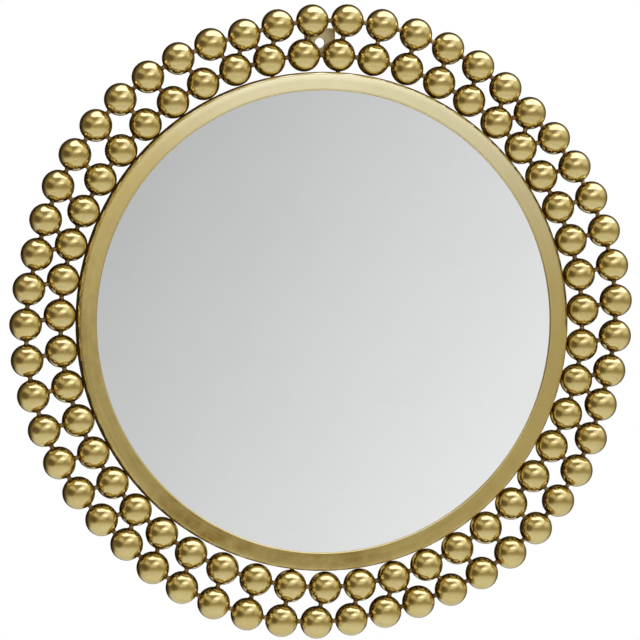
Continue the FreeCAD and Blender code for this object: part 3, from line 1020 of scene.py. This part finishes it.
@dataclass
class Studio:
    """Pale floor, lamps, and the surroundings that the metal reflects."""

    floor_drop: float = 1.5
    floor_radius: float = 3.6
    floor_clear: float = 1.3
    ambient: float = 0.62
    card_level: float = 0.623
    card_slope: float = -4.1
    card_rise: float = -2.9
    by_height: tuple[tuple[float, Colour], ...] = (
        (0.00, (0.86, 0.85, 0.82)),
        (0.20, (0.87, 0.86, 0.83)),
        (0.31, (0.66, 0.62, 0.52)),
        (0.41, (0.44, 0.39, 0.27)),
        (0.52, (0.40, 0.35, 0.23)),
        (0.66, (0.35, 0.29, 0.17)),
        (1.00, (0.34, 0.28, 0.16)),
    )
    by_depth: tuple[tuple[float, Colour], ...] = (
        (0.04, (0.05, 0.035, 0.025)),
        (0.12, (0.13, 0.10, 0.07)),
        (0.22, (0.36, 0.32, 0.27)),
        (0.36, (0.78, 0.76, 0.73)),
        (0.46, PURE_WHITE),
    )
    panels: tuple[Panel, ...] = (
        Panel(-45.0, 33.0, -80.0, 36.0, 12.0, 0.5, (0.34, 0.33, 0.28)),
        Panel(100.0, 32.0, 145.0, 32.0, 24.0, 0.7, (0.52, 0.56, 0.58)),
        Panel(-60.0, 2.0, -92.0, 8.0, 21.0, 0.55, (0.38, 0.34, 0.28), Blend.MULTIPLY),
        Panel(20.0, 23.0, 56.0, 27.0, 14.0, 0.6, (0.50, 0.53, 0.62)),
        Panel(50.0, 42.0, 80.0, 42.0, 13.0, 0.5, (0.60, 0.65, 0.90)),
        Panel(103.0, 76.0, 119.0, 34.0, 25.0, 0.22, (1.75, 1.85, 2.5)),
    )
    lamps: tuple[Lamp, ...] = (
        Lamp("overhead fill", 3.0, 76.0, 1.6, (1.6, 1.2), 100.0),
        Lamp("front softbox", VIEW_AZIMUTH + 21.0, 27.0, 2.6, (3.0, 1.1), 11.0, (0.86, 0.94, 1.15), glossy=True),
        Lamp("back fill", 160.0, 35.0, 3.0, (1.6, 1.6), 60.0),
    )

    def surroundings(self, graph: Graph) -> bpy.types.NodeSocket:
        """Colour of the studio in each direction, for metal and glass.

        Args:
            graph: the world's graph.

        Returns:
            The colour output.
        """
        direction = graph.coords(Coords.GENERATED)
        height = graph.add("ShaderNodeSeparateXYZ", {"Vector": direction}).outputs["Z"]
        around = graph.ramp(graph.math("MULTIPLY_ADD", height, 0.5, 0.5), self.by_height)
        for panel in self.panels:
            outside = BLACK if panel.blend is Blend.ADD else PURE_WHITE
            tint = graph.mix(panel.mask(graph, direction), outside, panel.colour)
            around = graph.mix(1.0, around, tint, panel.blend)
        ahead = graph.dot(direction, toward(VIEW_AZIMUTH + 20.0, VIEW_ELEVATION))
        behind = graph.ramp(graph.math("MULTIPLY_ADD", ahead, 0.5, 0.5), self.by_depth)
        return self.wall_card(graph, direction, graph.mix(1.0, around, behind, Blend.MULTIPLY))

    def wall_card(self, graph: Graph, direction: Any, around: Any) -> bpy.types.NodeSocket:
        """Grey card behind the camera that fills the glass, darker at the top left.

        Args:
            graph: the world's graph.
            direction: output with the direction that is looked at.
            around: colour of the surroundings without it.

        Returns:
            The colour output.
        """
        middle = toward(-VIEW_AZIMUTH, -VIEW_ELEVATION)
        right = UP.cross(-middle).normalized()
        aside = graph.dot(direction, right)
        above = graph.dot(direction, UP)
        from_middle = graph.length(graph.minus(direction, middle))
        fade = graph.math("MULTIPLY_ADD", aside, self.card_slope, self.card_level)
        fade = graph.math("MULTIPLY_ADD", above, self.card_rise, fade)
        grey = graph.add("ShaderNodeCombineColor", {"Red": fade, "Green": fade, "Blue": fade}).outputs[0]
        return graph.mix(graph.span(from_middle, 0.037, 0.052, 1.0, 0.0, smooth=True), around, grey)

    def world(self) -> None:
        """White for the camera, the studio for metal and glass, and even light for the rest."""
        world = bpy.data.worlds.new("studio")
        graph = fresh(world)
        path = graph.add("ShaderNodeLightPath").outputs
        mirrored = graph.math("MAXIMUM", path["Is Glossy Ray"], path["Is Transmission Ray"])
        seen = graph.mix(mirrored, (self.ambient,) * 3, self.surroundings(graph))
        colour = graph.mix(path["Is Camera Ray"], seen, PURE_WHITE)
        shader = graph.add("ShaderNodeBackground", {"Color": colour, "Strength": 1.0})
        graph.add("ShaderNodeOutputWorld", {"Surface": shader.outputs[0]})
        bpy.context.scene.world = world

    def floor(self) -> None:
        """Round pale floor that melts into the white background and is clear from below."""
        rings, spokes = 24, 96
        points = [(0.0, 0.0, 0.0)]
        faces: list[tuple[int, ...]] = []
        for ring in range(1, rings + 1):
            for spoke in range(spokes):
                turn = 2.0 * math.pi * spoke / spokes
                reach = self.floor_radius * ring / rings
                points.append((reach * math.cos(turn), reach * math.sin(turn), 0.0))
        for spoke in range(spokes):
            after = (spoke + 1) % spokes
            faces.append((0, 1 + spoke, 1 + after))
            for ring in range(rings - 1):
                near, far = 1 + ring * spokes, 1 + (ring + 1) * spokes
                faces.append((near + spoke, far + spoke, far + after, near + after))
        mesh = bpy.data.meshes.new("studio_floor")
        mesh.from_pydata(points, [], faces)
        floor = bpy.data.objects.new("studio_floor", mesh)
        floor.location = (0.0, 0.0, MIRROR_CENTRE.z - self.floor_drop)
        bpy.context.scene.collection.objects.link(floor)
        mesh.materials.append(self.floor_material())
        log.info("studio: floor %.1f m across", 2 * self.floor_radius)

    def floor_material(self) -> bpy.types.Material:
        """Pale matt floor that grows white, or clear to metal and glass, towards its edge."""
        made = bpy.data.materials.new("pale floor")
        graph = fresh(made)
        at = graph.coords()
        reach = graph.length(at)
        speck = graph.span(graph.noise(at, 60.0, 4.0), 0.3, 0.7, 0.97, 1.0)
        pale = graph.mix(speck, (0.70, 0.70, 0.69), (0.84, 0.84, 0.83))
        matt = graph.add("ShaderNodeBsdfPrincipled", {"Base Color": pale, "Roughness": 0.8})
        white = graph.add("ShaderNodeEmission", {"Color": PURE_WHITE, "Strength": 1.0})
        clear = graph.add("ShaderNodeBsdfTransparent")
        path = graph.add("ShaderNodeLightPath").outputs
        seen = path["Is Camera Ray"]
        beyond = graph.add("ShaderNodeMixShader", {0: seen, 1: clear.outputs[0], 2: white.outputs[0]})
        edge = graph.span(reach, self.floor_clear, self.floor_radius * 0.95, smooth=True)
        blend = graph.add("ShaderNodeMixShader", {0: edge, 1: matt.outputs[0], 2: beyond.outputs[0]})
        back = graph.add("ShaderNodeNewGeometry").outputs["Backfacing"]
        either = graph.add("ShaderNodeMixShader", {0: back, 1: blend.outputs[0], 2: clear.outputs[0]})
        graph.add("ShaderNodeOutputMaterial", {"Surface": either.outputs[0]})
        return made

    def build(self) -> None:
        """Set up the whole studio."""
        self.world()
        self.floor()
        for lamp in self.lamps:
            lamp.build()


@dataclass
class LongLens:
    """The camera, a little to the left and just above the mirror's centre."""

    distance: float = 8.7
    width_in_view: float = 0.7763
    aim_aside: float = -0.0034
    aim_above: float = 0.0016

    def build(self) -> None:
        """Place the camera and make it the scene's own."""
        data = bpy.data.cameras.new("long_lens")
        data.sensor_width = 36.0
        data.lens = data.sensor_width * self.distance / self.width_in_view
        camera = bpy.data.objects.new("long_lens", data)
        outward = toward(VIEW_AZIMUTH, VIEW_ELEVATION)
        aside = UP.cross(outward).normalized()
        aim = MIRROR_CENTRE + aside * self.aim_aside + UP * self.aim_above
        camera.location = aim + outward * self.distance
        camera.rotation_euler = outward.to_track_quat("Z", "Y").to_euler()
        bpy.context.scene.collection.objects.link(camera)
        bpy.context.scene.camera = camera


def main() -> None:
    """Build the camera and the studio, and then each part of the mirror."""
    logging.basicConfig(level=logging.INFO, format="%(message)s")
    bpy.context.scene.view_settings.view_transform = "Standard"
    LongLens().build()
    Studio().build()
    for part in (FrameRing(), BallRows(), HangingPlate(), MirrorGlass(), MirrorBack()):
        part.build()


if __name__ == "__main__":
    main()
